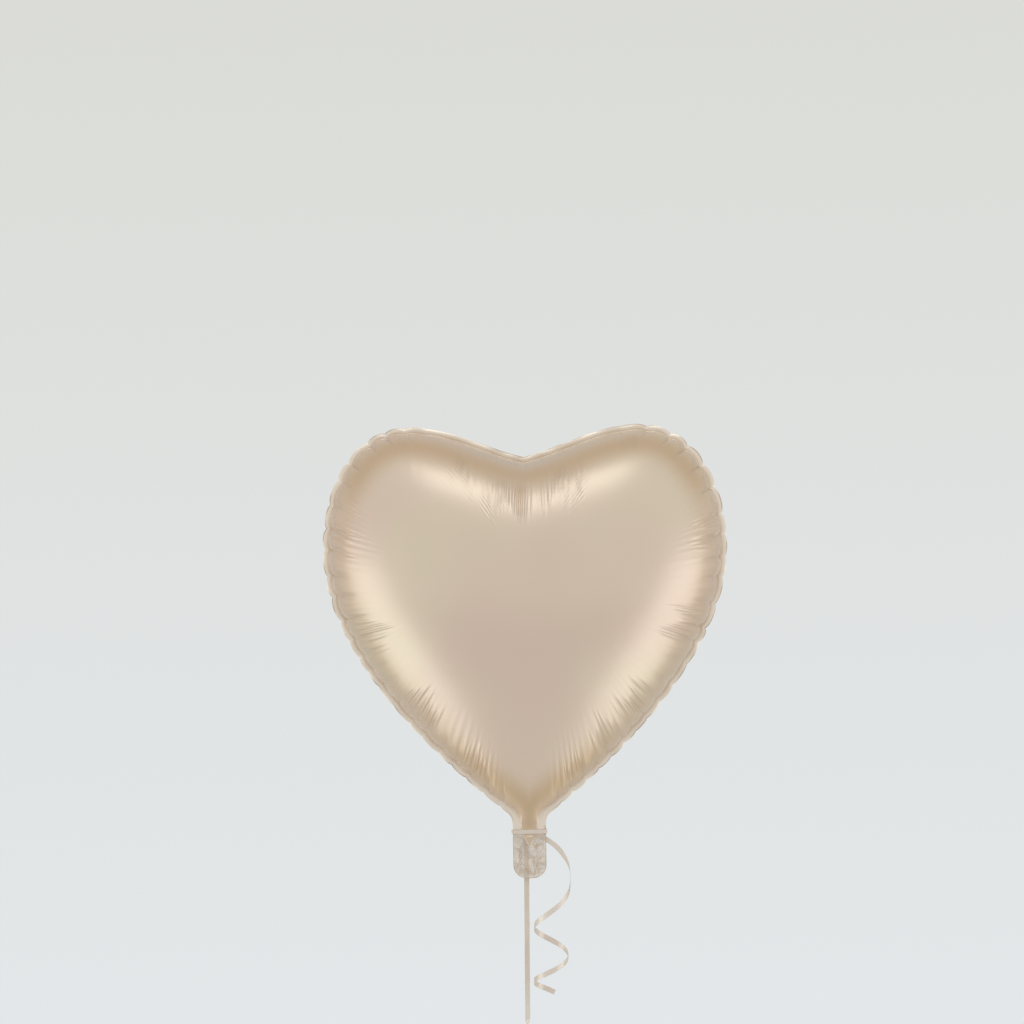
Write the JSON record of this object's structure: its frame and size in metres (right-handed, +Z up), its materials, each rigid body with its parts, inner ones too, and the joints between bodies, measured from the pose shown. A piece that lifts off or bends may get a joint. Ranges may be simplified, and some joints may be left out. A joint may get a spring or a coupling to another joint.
{
  "type": "heart-shaped foil balloon",
  "caption": "Filled heart-shaped foil balloon with a folding filling tail, a ribbon leader ending in a hand loop, and a curled ribbon end.",
  "frame": {"origin": "middle of the neck at the tie, on the balloon's centre plane", "axes": "+Z up through the heart, -Y out of the balloon's front, +X to the right seen from the front"},
  "size_m": [0.39, 0.18, 0.6635],
  "materials": {
    "front_film": "satin",
    "back_film": "satin",
    "valve_film": "satin",
    "tail_film": "satin",
    "ribbon": "satin"
  },
  "bodies": {
    "balloon": {"front_panel": "front_film", "back_panel": "back_film", "valve_front": "valve_film", "valve_back": "valve_film", "ribbon_tie": "ribbon"},
    "tail": {"tail_front": "tail_film", "tail_back": "tail_film"},
    "knot": {"ribbon_knot": "ribbon"},
    "leader": {"ribbon_leader": "ribbon", "loop_knot": "ribbon", "hand_loop": "ribbon"},
    "curl": {"curl_lead": "ribbon", "ribbon_curl": "ribbon"}
  },
  "joints": [
    {"name": "tail_fold", "type": "hinge", "parent": "balloon", "child": "tail", "pos_m": [0, 0, -0.0003], "axis": [-1, 0, 0], "range_deg": [0, 90]},
    {"name": "knot_pitch", "type": "hinge", "parent": "balloon", "child": "knot", "pos_m": [-0.003, 0.0038, -0.001], "axis": [1, 0, 0], "range_deg": [0, 35]},
    {"name": "leader_swing", "type": "hinge", "parent": "knot", "child": "leader", "pos_m": [-0.003, 0.0038, -0.001], "axis": [0, 1, 0], "range_deg": [0, 20]},
    {"name": "curl_swing", "type": "hinge", "parent": "knot", "child": "curl", "pos_m": [-0.003, 0.0038, -0.001], "axis": [0, -1, 0], "range_deg": [0, 15]}
  ]
}
